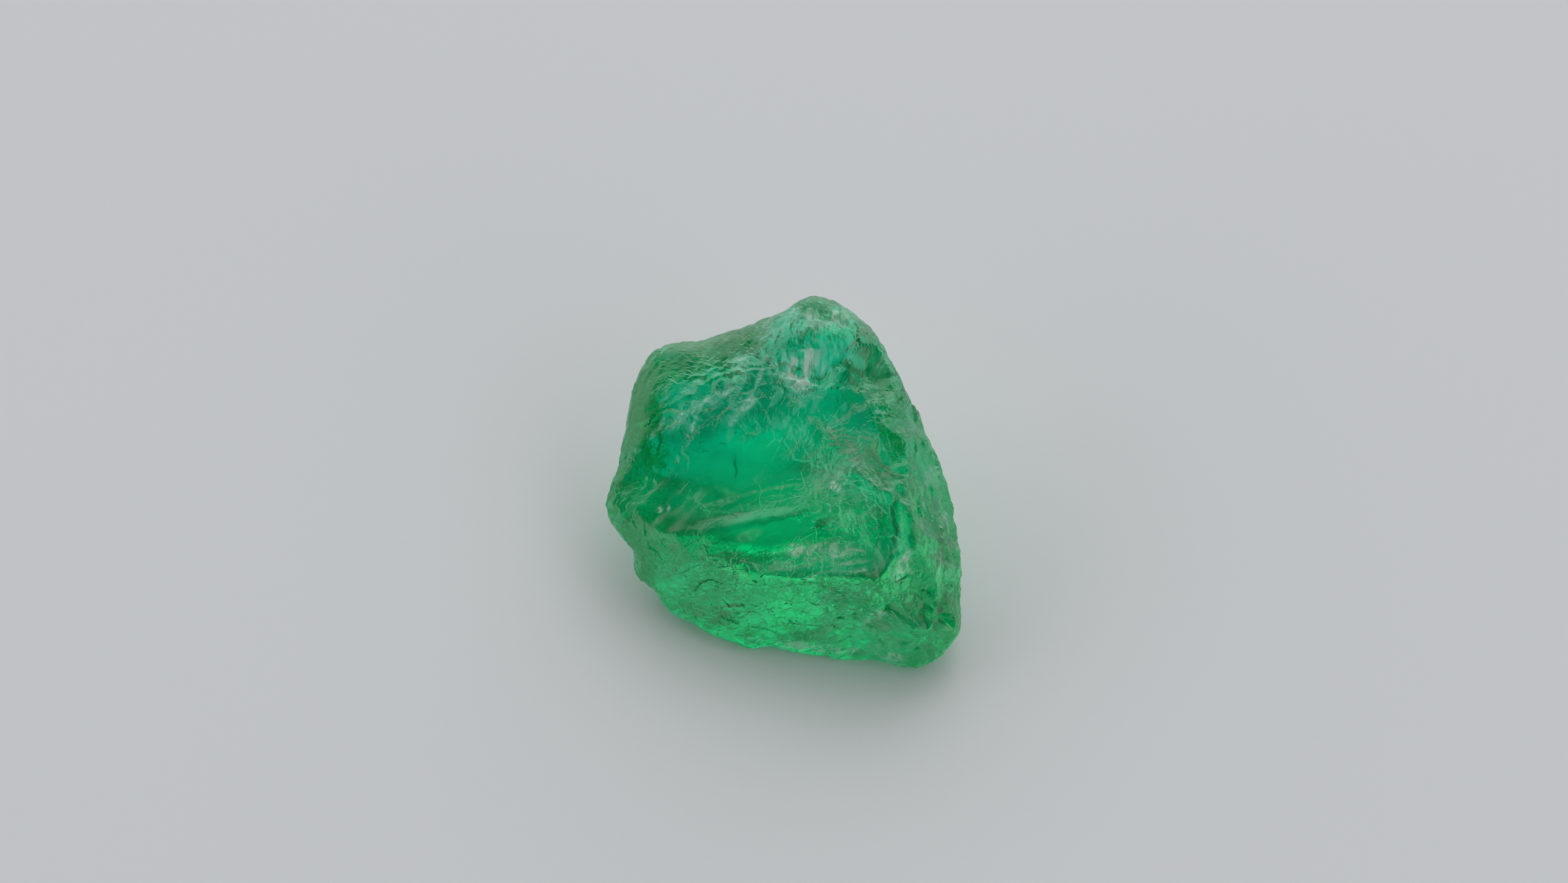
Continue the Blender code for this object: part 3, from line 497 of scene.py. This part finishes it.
# Small painted highlights: bright flecks on the crown, the ledges and the edges of the band.
SPOT_EDGE = 0.25
GLINT_SPOTS = [
    (2.20, 1.81, 0.31, 0.26, 0, 0.95),
    (2.50, 1.30, 0.15, 0.23, 0, 0.50),
    (5.06, -1.58, 0.77, 0.23, 62, 0.90),
    (0.51, -0.87, 0.33, 0.26, 0, 0.90),
    (1.46, -0.72, 0.51, 0.15, 10, 0.60),
    (2.48, -1.12, 0.46, 0.13, 0, 0.60),
    (4.14, 7.13, 0.15, 0.33, 0, 0.70),
    (4.22, 5.03, 0.38, 0.10, 0, 0.70),
    (-5.26, 0.84, 0.15, 0.15, 0, 0.80),
    (-4.88, 0.92, 0.10, 0.15, 0, 0.70),
    (-6.21, 3.35, 0.23, 0.13, 30, 0.60),
    (4.75, -5.44, 0.31, 0.15, 0, 0.70),
    (-4.68, 4.57, 0.56, 0.08, 50, 0.60),
    (-4.04, 5.14, 0.61, 0.08, 50, 0.60),
    (-3.53, 5.60, 0.51, 0.08, 45, 0.50),
    (-5.01, 4.14, 0.31, 0.08, 50, 0.50),
    (-1.69, 7.13, 0.51, 0.10, 50, 0.60),
    (-2.07, 6.82, 0.41, 0.08, 55, 0.50),
    (-0.84, 7.31, 0.36, 0.08, 45, 0.50),
    (0.05, 7.13, 0.41, 0.08, 50, 0.50),
    (-1.94, 5.14, 0.66, 0.20, 45, 0.50),
    (-1.38, 5.60, 0.23, 0.18, 0, 0.80),
    (1.46, 9.22, 0.56, 0.15, 10, 0.70),
    (2.22, 8.89, 0.41, 0.13, -20, 0.50),
    (0.95, 8.66, 0.51, 0.10, 30, 0.45),
    (-1.48, 1.48, 2.04, 0.08, 13, 0.45),
    (-2.76, 1.10, 0.77, 0.10, 8, 0.40),
    (-1.48, -0.28, 0.56, 0.23, 20, 0.35),
    (6.36, 2.38, 0.15, 0.36, 0, 0.50),
    (4.65, 5.60, 0.51, 0.08, 70, 0.40),
    (1.46, 8.97, 0.51, 0.18, 10, 0.80),
    (1.07, 8.61, 0.36, 0.13, 30, 0.80),
    (2.40, 8.92, 0.36, 0.15, -20, 0.80),
    (-0.51, 9.12, 0.36, 0.15, 10, 0.70),
    (0.61, 9.43, 0.26, 0.15, 0, 0.60),
    (0.31, -0.92, 1.02, 0.08, 8, 0.60),
    (1.74, -1.25, 0.92, 0.10, 5, 0.70),
    (2.76, -0.92, 0.77, 0.08, 0, 0.60),
    (4.14, -3.63, 0.36, 0.10, 10, 0.70),
    (4.75, -5.60, 0.41, 0.13, -10, 0.80),
    (0.31, -5.03, 0.46, 0.08, -4, 0.60),
    (2.35, -5.24, 0.61, 0.08, -2, 0.60),
    (-1.23, -4.68, 0.51, 0.08, -12, 0.50),
    (3.12, -1.81, 0.46, 0.08, 10, 0.60),
    (1.33, -2.02, 0.51, 0.08, 20, 0.50),
    (6.95, 0.23, 0.10, 0.61, 0, 0.50),
    (6.64, -1.56, 0.08, 0.66, -8, 0.50),
    (5.42, -1.81, 0.20, 0.13, 0, 0.60),
    (-6.03, 3.25, 0.66, 1.28, 0, 0.05),
    (0.51, 7.46, 0.33, 0.10, 12, 0.80),
    (1.12, 7.08, 0.23, 0.13, -30, 0.90),
    (0.92, 6.39, 0.31, 0.13, 25, 0.80),
    (0.33, 6.80, 0.20, 0.13, 60, 0.80),
]
# Painted glow: clear places painted brighter, because light comes up through the stone: the bowl, the
# band, the foot.
PAINTED_GLOW_EDGE = 0.8
PAINTED_GLOW_PATCHES = [
    (-0.97, 3.25, 1.58, 1.12, 0, 1.00),
    (-1.87, 2.27, 2.81, 0.92, -5, 1.00),
    (0.05, 1.64, 2.30, 0.87, 8, 1.00),
    (0.05, 0.49, 3.32, 1.02, 5, 1.00),
    (2.61, 0.74, 1.53, 1.53, 0, 0.90),
    (0.05, -0.66, 2.81, 0.61, 0, 0.70),
    (4.86, -0.28, 0.61, 2.30, 0, 1.00),
    (6.44, -0.28, 1.28, 3.83, 0, 0.50),
    (1.84, 8.92, 1.53, 0.87, 0, 0.90),
    (3.37, -0.79, 1.79, 1.02, 0, 0.80),
    (6.18, 2.79, 1.02, 1.53, 0, 0.50),
    (4.40, -4.63, 2.30, 1.02, 0, 0.70),
    (-4.55, 6.62, 1.53, 1.53, 0, 0.30),
    (-1.99, 7.64, 2.04, 0.77, 15, 0.30),
    (1.33, 6.87, 1.53, 1.02, 0, 0.30),
    (-3.78, 1.38, 1.53, 0.87, 0, 0.60),
    (4.14, 6.87, 0.77, 1.53, 0, 0.60),
    (4.91, -0.79, 0.77, 1.53, 0, 0.60),
    (-5.83, 1.76, 1.28, 1.02, 0, 0.40),
    (1.33, -1.33, 2.81, 0.41, 4, 0.90),
    (-2.76, 6.75, 1.41, 0.46, 12, 0.55),
    (1.33, -1.64, 2.94, 0.41, 2, 1.00),
]
# Painted shade: places where the veil is thicker and the front of the gem is painted darker.
PAINTED_SHADE_CLOUD_EDGE = 0.8
PAINTED_SHADE_CLOUDS = [
    (-5.70, 2.27, 1.80, 2.81, 0, 0.25),
    (-1.48, 5.85, 3.83, 1.53, 25, 0.54),
    (3.63, 5.85, 1.53, 1.79, 0, 0.45),
    (1.33, 5.60, 1.79, 1.53, 0, 0.12),
    (-4.29, 0.49, 1.79, 0.77, -20, 0.20),
    (5.67, 4.32, 1.02, 1.28, 0, 0.20),
    (-3.02, -2.07, 2.81, 1.53, -20, 0.50),
    (-3.83, 3.42, 0.92, 0.77, 0, 0.30),
    (1.07, -3.86, 3.32, 0.92, 0, 0.22),
    (-3.53, -2.07, 1.79, 1.53, 0, 0.12),
    (3.37, 5.60, 1.02, 0.77, 0, 0.30),
    (2.35, -3.60, 1.53, 0.92, 0, 0.30),
]
# Painted shade in dark pits, cracks and clefts.
SHADE_EDGE = 0.40
PAINTED_SHADES = [
    (3.07, 6.67, 0.56, 0.56, 0, 0.70),
    (3.88, 6.36, 0.36, 0.56, 0, 0.60),
    (3.32, 5.47, 0.51, 0.26, 0, 0.60),
    (4.65, 3.81, 0.41, 0.61, 0, 0.50),
    (6.95, -0.79, 0.41, 1.07, 0, 0.80),
    (6.87, -3.35, 0.38, 0.56, 0, 0.85),
    (4.86, 0.23, 0.15, 1.28, -4, 0.90),
    (1.58, 0.18, 0.36, 0.15, 30, 0.90),
    (0.31, 7.90, 1.02, 0.20, 20, 0.40),
    (-2.10, 2.68, 0.06, 0.46, -5, 0.85),
    (-2.35, 3.91, 0.08, 0.51, -15, 0.35),
    (-4.11, -2.76, 0.61, 0.10, -35, 0.80),
    (-2.76, 0.49, 1.53, 0.13, 10, 0.60),
    (-0.20, 0.49, 1.53, 0.13, 12, 0.50),
    (-3.53, -0.03, 1.53, 0.41, -10, 0.35),
    (-0.46, 6.87, 0.77, 0.20, 50, 0.50),
    (-2.76, 6.62, 1.02, 0.31, 50, 0.20),
    (-0.97, 4.32, 1.02, 0.26, 30, 0.40),
    (4.09, -3.96, 0.56, 0.36, -15, 0.70),
    (1.56, -5.29, 0.61, 0.13, 0, 0.70),
    (3.25, -5.34, 0.51, 0.10, 0, 0.60),
    (6.85, -0.92, 0.26, 0.87, 5, 0.70),
    (7.26, -3.65, 0.23, 0.66, 0, 0.70),
    (4.65, -1.56, 0.13, 0.77, 6, 0.60),
    (3.37, 5.85, 0.87, 0.66, 0, 0.80),
    (6.18, 0.49, 0.61, 1.53, 5, 0.20),
    (5.55, 3.17, 0.41, 0.77, 0, 0.25),
    (-5.57, 5.85, 0.66, 1.53, 0, 0.22),
    (2.22, 4.32, 1.02, 0.66, 0, 0.12),
]
# Narrow pale splinters, most of them leaning up the slope above the bowl: whitened frost, partly painted
# highlight.
STREAK_EDGE = 0.35
FROST_AND_GLINT_STREAKS = [
    (-3.14, 5.65, 0.97, 0.13, 31, 0.62),
    (-2.61, 5.90, 0.77, 0.13, 15, 0.60),
    (-4.55, 4.65, 0.49, 0.10, 64, 0.65),
    (-5.19, 4.40, 0.36, 0.10, 60, 0.60),
    (-5.49, 4.01, 0.31, 0.10, 60, 0.55),
    (-4.01, 4.47, 0.28, 0.08, 75, 0.75),
    (-1.07, 6.59, 0.61, 0.10, 70, 0.60),
    (-0.56, 6.93, 0.31, 0.10, 72, 0.55),
    (-1.89, 7.23, 0.36, 0.10, 3, 0.80),
    (-1.58, 5.34, 0.56, 0.20, 35, 0.80),
    (-2.17, 4.73, 0.38, 0.18, 60, 0.65),
    (-2.30, 4.04, 0.38, 0.15, 75, 0.28),
    (-0.66, 8.15, 0.66, 0.20, 5, 0.45),
    (1.20, 9.07, 0.43, 0.20, 10, 0.85),
    (1.79, 8.66, 0.46, 0.15, -10, 0.65),
    (2.66, 9.10, 0.46, 0.10, -15, 0.50),
    (0.54, 8.38, 0.36, 0.10, 50, 0.55),
    (0.41, 7.18, 0.26, 0.15, 20, 0.95),
    (0.97, 7.00, 0.13, 0.38, -12, 0.95),
    (0.51, 6.31, 0.31, 0.15, -35, 0.95),
    (1.41, 7.16, 0.13, 0.28, 25, 0.75),
    (0.92, 6.16, 0.23, 0.13, 30, 0.90),
    (0.20, 6.72, 0.13, 0.23, 15, 0.80),
    (1.12, 7.64, 0.56, 0.08, -4, 0.80),
    (-3.53, 6.57, 0.46, 0.10, 40, 0.42),
    (-4.09, 6.11, 0.46, 0.10, 45, 0.42),
    (-5.06, 5.47, 0.41, 0.10, 55, 0.36),
    (3.88, 6.87, 0.13, 0.56, 8, 0.35),
    (5.42, 4.57, 0.15, 0.77, 10, 0.25),
    (6.18, 2.79, 0.13, 0.66, 8, 0.25),
    (3.07, 4.17, 0.77, 0.10, -10, 0.28),
    (2.61, 3.30, 0.66, 0.10, 10, 0.26),
    (1.58, -0.92, 1.02, 0.13, 6, 0.50),
    (2.86, -1.43, 0.87, 0.10, 4, 0.50),
    (0.56, -1.69, 0.77, 0.10, 8, 0.45),
    (0.51, -1.00, 0.31, 0.26, 20, 0.80),
]
# Frosted lips of the hollows, which catch the light without turning white.
LIP_EDGE = 0.5
ROUGH_LIPS = [
    (-1.48, 0.61, 3.07, 0.41, 10, 1.00),
    (-4.04, 0.49, 1.53, 0.46, 15, 1.00),
    (-1.23, 2.02, 2.30, 0.20, 12, 1.00),
]
# Brown stains.
STAIN_EDGE = 0.5
STAINS = [
    (3.88, 3.42, 0.31, 0.41, 0, 0.70),
    (-2.76, 8.02, 1.53, 0.15, 12, 0.40),
    (3.12, 9.30, 0.31, 0.20, 0, 0.30),
]

# Small chips and the smallest splinters: size, seed.
CHIP_SQUEEZE = np.array([1.0, 0.7, 1.0])
CHIPS = (0.26, 74)
SPLINTERS = (0.13, 75)
PALEST = 0.92
# How bright or dark the outermost splinters are on the slope, on the ridge and on the front.
BRIGHT_SPLINTERS = np.array([0.26, 0.18, 0.16])
DARK_SPLINTERS = np.array([0.30, 0.30, 0.18])


def seen_place(points):
    """Right and up of each place as seen by the eye: the way's share across, over its depth."""
    way = points - SIGHT_MIDDLE_UP * SIGHT_UP_WAY - SIGHT_DISTANCE * SIGHT_BACK_WAY
    scale = SIGHT_DISTANCE / -(way @ SIGHT_BACK_WAY)
    return np.stack([way[:, 0] * scale, SIGHT_MIDDLE_UP + (way @ SIGHT_UP_WAY) * scale], axis=1)


def marks(places, rows, edge):
    """The strongest of the ellipses at each place: strength * eased fall-off over EDGE of its size."""
    total = np.zeros(len(places))
    for right, up, half_length, half_width, turn, strength in rows:
        away = places - np.array([right, up])
        cosine, sine = math.cos(math.radians(turn)), math.sin(math.radians(turn))
        along = (away[:, 0] * cosine + away[:, 1] * sine) / half_length
        across = (away[:, 1] * cosine - away[:, 0] * sine) / half_width
        size = np.hypot(along, across)
        total = np.maximum(total, strength * (1.0 - eased_step(size, 1.0 - edge, 1.0 + edge)))
    return total


front_side = eased_step(ways @ SIGHT_BACK_WAY, -0.1, 0.1)
plain_seen = seen_place(hollowed_points)
jitter = [wave(hollowed_points, 0.16, 0.5, 71), wave(hollowed_points, 0.16, 0.5, 72)]
seen = plain_seen + np.stack(jitter, axis=1)

# How far each small chip has lifted, which sets where the painted glints show, and which of the smallest
# splinters are bright, 0 to 1.
chip_luck = flakes(wavy_points * CHIP_SQUEEZE, *CHIPS)[1]
glint_chips = 0.4 * stroke[1] + 0.6 * chip_luck + wave(carved_points, 0.2, 0.2, 73)
glint_chips = eased_step(glint_chips, 0.46, 0.60)
splinter_luck = flakes(carved_points, *SPLINTERS)[1]
splintered = eased_step(0.6 * splinter_luck + 0.4 * chip_luck, 0.42, 0.52)

# Pale: whitened skin and painted highlights, the strongest of the painted glints, the flecks, the
# streaks and the brightest splinters.
painted_glints = marks(seen, PAINTED_GLINTS, GLINT_EDGE) * (0.08 + 0.92 * np.maximum(glint_chips, 0.55 * splintered))
glint_flecks = marks(0.5 * seen + 0.5 * plain_seen, GLINT_SPOTS, SPOT_EDGE) * (0.34 + 0.66 * splintered)
frost_and_glint_streaks = marks(0.35 * seen + 0.65 * plain_seen, FROST_AND_GLINT_STREAKS, STREAK_EDGE)
frost_and_glint_streaks = frost_and_glint_streaks * (0.65 + 0.35 * splintered)
pale_and_painted_glints = PALEST * front_side * np.maximum(painted_glints, np.maximum(glint_flecks, frost_and_glint_streaks))
parts = np.stack([slope_part, ridge_part, front_part])
bright_splinters = eased_step(stroke[1], 0.86, 0.92) * (BRIGHT_SPLINTERS @ parts)
pale_and_painted_glints = np.maximum(pale_and_painted_glints, bright_splinters * (1.0 - smooth_share))

# Painted shade and dark splinters: the stronger of the painted shade marks and the darkest splinters.
painted_shade_and_splinters = front_side * marks(seen, PAINTED_SHADES, SHADE_EDGE)
dark_splinters = (1.0 - eased_step(stroke[1], 0.08, 0.16)) * (DARK_SPLINTERS @ parts)
painted_shade_and_splinters = np.maximum(painted_shade_and_splinters, dark_splinters * (1.0 - smooth_share))
stain = front_side * marks(seen, STAINS, STAIN_EDGE)

# Frost makes the skin rough, and the veil is painted shade that darkens the front of the gem, except
# where the painted glow clears it.
frost = 0.60 - 0.70 * smooth_share + 0.2 * peak_share - 0.3 * crown_share
frost = frost + wave(hollowed_points, 0.35, 0.8, 51) + wave(carved_points, 0.12, 0.3, 52)
frost = np.clip(frost + 0.8 * marks(seen, ROUGH_LIPS, LIP_EDGE), 0.0, 1.0)
# Painted glow: the clear places painted brighter where light comes up through the stone.
painted_glow = front_side * marks(seen, PAINTED_GLOW_PATCHES, PAINTED_GLOW_EDGE)
painted_shade_veil = 0.58 + wave(hollowed_points, 0.10, 0.9, 53) + 0.06 * (stroke[1] - 0.5)
painted_shade_veil = painted_shade_veil + marks(seen, PAINTED_SHADE_CLOUDS, PAINTED_SHADE_CLOUD_EDGE)
painted_shade_veil = np.clip(front_side * painted_shade_veil * (1.0 - painted_glow), 0.0, 1.0)


def blend(first, second, share):
    """first * (1 - share) + second * share, for colours."""
    return first * (1.0 - share[:, None]) + np.array(second) * share[:, None]


GEM_GREEN = (0.005, 1.0, 0.69)
PAINTED_GLOW_GREEN = (0.005, 0.98, 0.48)
PAINTED_SHADE_VEIL_GREEN = (0.005, 0.22, 0.15)
SHADE_AND_SPLINTER_GREEN = (0.0, 0.30, 0.16)
WHITENED_SKIN_AND_GLINTS = (0.90, 1.0, 0.93)
STAIN_BROWN = (0.36, 0.34, 0.14)
# Painted glow: a brighter clear green where light comes up through the stone.
colour = blend(np.array([GEM_GREEN]), PAINTED_GLOW_GREEN, painted_glow)
# Painted shade: the veil darkens the front of the gem.
colour = blend(colour, PAINTED_SHADE_VEIL_GREEN, painted_shade_veil)
# Painted shade in pits, cracks and clefts, and the darkest splinters.
colour = blend(colour, SHADE_AND_SPLINTER_GREEN, painted_shade_and_splinters)
# Whitened frost and painted glints.
colour = blend(colour, WHITENED_SKIN_AND_GLINTS, pale_and_painted_glints)
colour = blend(colour, STAIN_BROWN, stain)
# Milkiness: the stains, and painted light from the glints and the glow.
milky_and_painted_light = np.maximum(pale_and_painted_glints, np.maximum(0.5 * stain, 0.45 * painted_glow))


def store(name, kind, slot, values):
    """Keeps numbers or colours for each corner of the mesh, for the material to read."""
    layer = skin_mesh.attributes.new(name, kind, "POINT")
    layer.data.foreach_set(slot, np.asarray(values, dtype=np.float32).ravel())


store("frost", "FLOAT", "value", frost)
store("milky_and_painted_light", "FLOAT", "value", milky_and_painted_light)
store("tint", "FLOAT_COLOR", "color", np.hstack([colour, np.ones((len(colour), 1))]))

# The gem itself: clear green tourmaline, seen through, with a frosted broken skin.
# Light is soaked up along its way inside; the frosted skin scatters a little of it.
# The skin's tint, with its painted glints, glow and shade, its frost, and its milkiness, partly painted
# light, come from the three attributes kept above.

GEM_IOR = 1.63
PLAIN_ROUGHNESS = 0.2
CLEAR_ROUGHNESS = 0.09
FROSTED_ROUGHNESS = 0.27
PLAIN_TRANSMISSION = 1.0
CLEAR_TRANSMISSION = 0.99
MILKY_TRANSMISSION = 0.25
SOAK_COLOUR = (0.0, 0.99, 0.90, 1.0)
SOAK_DENSITY = 700.0
gem = bpy.data.materials.new("green_gem")
gem.use_nodes = True
nodes = gem.node_tree.nodes
links = gem.node_tree.links
shader = nodes["Principled BSDF"]
shader.inputs["IOR"].default_value = GEM_IOR
# Plain values, for a reader that can't follow the attributes that are linked below.
shader.inputs["Transmission Weight"].default_value = PLAIN_TRANSMISSION
shader.inputs["Roughness"].default_value = PLAIN_ROUGHNESS
tint = nodes.new("ShaderNodeAttribute")
tint.attribute_name = "tint"
links.new(tint.outputs["Color"], shader.inputs["Base Color"])


def attribute_range(name, low, high):
    """The output of LOW + (HIGH - LOW) * the mesh's attribute NAME."""
    mask = nodes.new("ShaderNodeAttribute")
    mask.attribute_name = name
    span = nodes.new("ShaderNodeMapRange")
    span.inputs["To Min"].default_value = low
    span.inputs["To Max"].default_value = high
    links.new(mask.outputs["Fac"], span.inputs["Value"])
    return span.outputs["Result"]


roughness = attribute_range("frost", CLEAR_ROUGHNESS, FROSTED_ROUGHNESS)
transmission = attribute_range("milky_and_painted_light", CLEAR_TRANSMISSION, MILKY_TRANSMISSION)
links.new(roughness, shader.inputs["Roughness"])
links.new(transmission, shader.inputs["Transmission Weight"])
soak = nodes.new("ShaderNodeVolumeAbsorption")
soak.inputs["Color"].default_value = SOAK_COLOUR
soak.inputs["Density"].default_value = SOAK_DENSITY
links.new(soak.outputs["Volume"], nodes["Material Output"].inputs["Volume"])
skin_mesh.materials.append(gem)

# The floor: a plain pale sheet, flat and matt.
# It lies a hair below the stone's rest facet, so that the two faces don't flicker.

FLOOR_REACH = 0.6
FLOOR_DROP = 0.00001
SHEET_COLOUR = (0.85, 0.872, 0.887, 1.0)
SHEET_ROUGHNESS = 0.9
FLOOR_CORNERS = [(-1, -1), (1, -1), (1, 1), (-1, 1)]
floor_places = [(x * FLOOR_REACH, y * FLOOR_REACH, 0.0) for x, y in FLOOR_CORNERS]
floor_mesh = bpy.data.meshes.new("floor")
floor_mesh.from_pydata(floor_places, [], [(0, 1, 2, 3)])
floor = bpy.data.objects.new("floor", floor_mesh)
floor.location = (0.0, 0.0, -FLOOR_DROP)
bpy.context.collection.objects.link(floor)
sheet = bpy.data.materials.new("pale_sheet")
sheet.use_nodes = True
sheet_shader = sheet.node_tree.nodes["Principled BSDF"]
sheet_shader.inputs["Base Color"].default_value = SHEET_COLOUR
sheet_shader.inputs["Roughness"].default_value = SHEET_ROUGHNESS
floor_mesh.materials.append(sheet)

# Light: broad and soft, mostly from above and behind the stone.
# The sky is pale and even, with three dimmer places, so that the stone's faces mirror the room
# softly instead of all alike, and one brighter place low down behind it.

SKY_COLOUR = (0.99, 0.995, 1.0, 1.0)
# Each place in the sky: its way, the cosines where it starts and is full, strength far and near.
OVERHEAD = ((-0.20, -0.36, 0.91), 0.66, 0.86, 0.96, 0.02)
BEFORE = ((-0.12, -0.89, 0.44), 0.74, 0.90, 1.0, 0.26)
BESIDE = ((0.93, 0.10, 0.35), 0.70, 0.92, 1.0, 0.66)
BEHIND = ((0.10, 0.96, 0.26), 0.60, 0.95, 0.0, 0.6)
world = bpy.data.worlds.new("sky")
bpy.context.scene.world = world
world.use_nodes = True
backdrop = world.node_tree.nodes["Background"]
backdrop.inputs["Color"].default_value = SKY_COLOUR
sky_nodes = world.node_tree.nodes
sky_links = world.node_tree.links
sky_way = sky_nodes.new("ShaderNodeTexCoord")


def sky_part(toward, start, full, far, near):
    """FAR away from the direction TOWARD, NEAR close to it, eased between the cosines START and FULL."""
    cosine = sky_nodes.new("ShaderNodeVectorMath")
    cosine.operation = "DOT_PRODUCT"
    cosine.inputs[1].default_value = toward
    part = sky_nodes.new("ShaderNodeMapRange")
    part.interpolation_type = "SMOOTHSTEP"
    part.inputs["From Min"].default_value = start
    part.inputs["From Max"].default_value = full
    part.inputs["To Min"].default_value = far
    part.inputs["To Max"].default_value = near
    sky_links.new(sky_way.outputs["Generated"], cosine.inputs[0])
    sky_links.new(cosine.outputs["Value"], part.inputs["Value"])
    return part.outputs["Result"]


def joined(kind, first, second):
    """FIRST times SECOND where KIND is MULTIPLY, FIRST plus SECOND where it is ADD."""
    join = sky_nodes.new("ShaderNodeMath")
    join.operation = kind
    sky_links.new(first, join.inputs[0])
    sky_links.new(second, join.inputs[1])
    return join.outputs["Value"]


dimmed = joined("MULTIPLY", sky_part(*OVERHEAD), sky_part(*BEFORE))
dimmed = joined("MULTIPLY", dimmed, sky_part(*BESIDE))
sky_links.new(joined("ADD", dimmed, sky_part(*BEHIND)), backdrop.inputs["Strength"])

SOFTBOX_PLACE = Vector((0.06, 0.20, 0.28))
SOFTBOX_SIZE = 0.14
SOFTBOX_POWER = 0.045
STONE_MIDDLE = Vector((0.0, 0.0, 0.003))
softbox_data = bpy.data.lights.new("softbox", "AREA")
softbox_data.size = SOFTBOX_SIZE
softbox_data.energy = SOFTBOX_POWER
softbox = bpy.data.objects.new("softbox", softbox_data)
softbox.location = SOFTBOX_PLACE
softbox.rotation_euler = (STONE_MIDDLE - SOFTBOX_PLACE).to_track_quat("-Z", "Y").to_euler()
bpy.context.collection.objects.link(softbox)

# The camera: 50 degrees above the rest plane, straight on, framed as in the photograph.
# It stands well off, so that near parts of the stone look hardly larger than far ones.

FOCAL_LENGTH = 57.42
NEAREST_SEEN = 0.005
back_way = Vector(SIGHT_BACK_WAY)
aim = Vector(SIGHT_UP_WAY) * SIGHT_MIDDLE_UP + Vector(FOOTPRINT_SHIFT)
camera_data = bpy.data.cameras.new("camera")
camera_data.lens = FOCAL_LENGTH
camera_data.clip_start = NEAREST_SEEN
camera = bpy.data.objects.new("camera", camera_data)
camera.location = (aim + back_way * SIGHT_DISTANCE) * MILLIMETRE
camera.rotation_euler = (-back_way).to_track_quat("-Z", "Y").to_euler()
bpy.context.collection.objects.link(camera)
bpy.context.scene.camera = camera

bpy.context.scene.view_settings.view_transform = "Standard"
